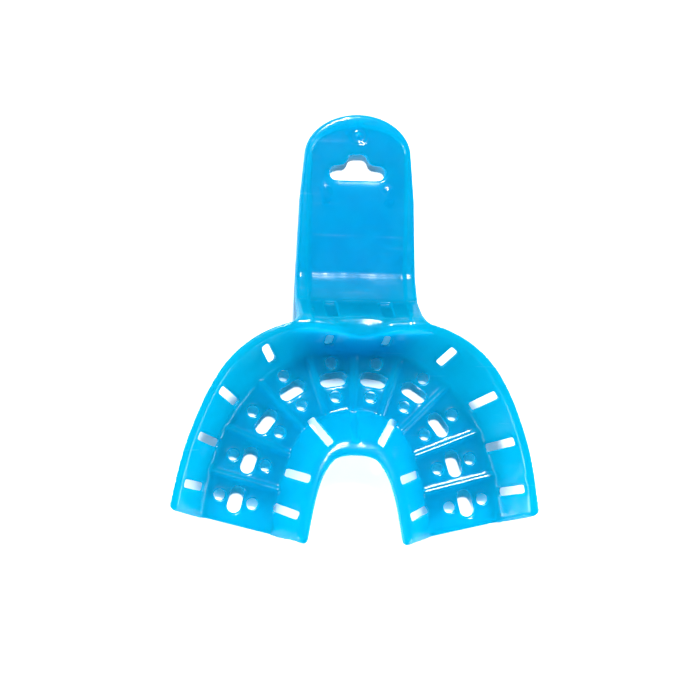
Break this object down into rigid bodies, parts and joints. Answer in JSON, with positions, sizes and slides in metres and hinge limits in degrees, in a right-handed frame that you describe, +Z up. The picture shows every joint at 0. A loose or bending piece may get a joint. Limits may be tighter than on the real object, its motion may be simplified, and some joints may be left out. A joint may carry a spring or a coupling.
{
  "type": "dental impression tray",
  "caption": "Disposable perforated lower-arch impression tray: a horseshoe trough that carries impression paste, with a flat handle and a hanging hole",
  "frame": {"origin": "centre of the footprint, on the table that the feet under the floor and the handle's underside both stand on", "axes": "+Z up out of the trough, +Y from the trough to the handle's end, X across the arch, which is mirrored about X = 0"},
  "size_m": [0.0816, 0.0934, 0.014],
  "materials": {
    "blue_plastic": "glossy, slightly translucent sky blue polystyrene"
  },
  "bodies": {
    "root": {"tray_moulding": "blue_plastic"}
  },
  "joints": []
}
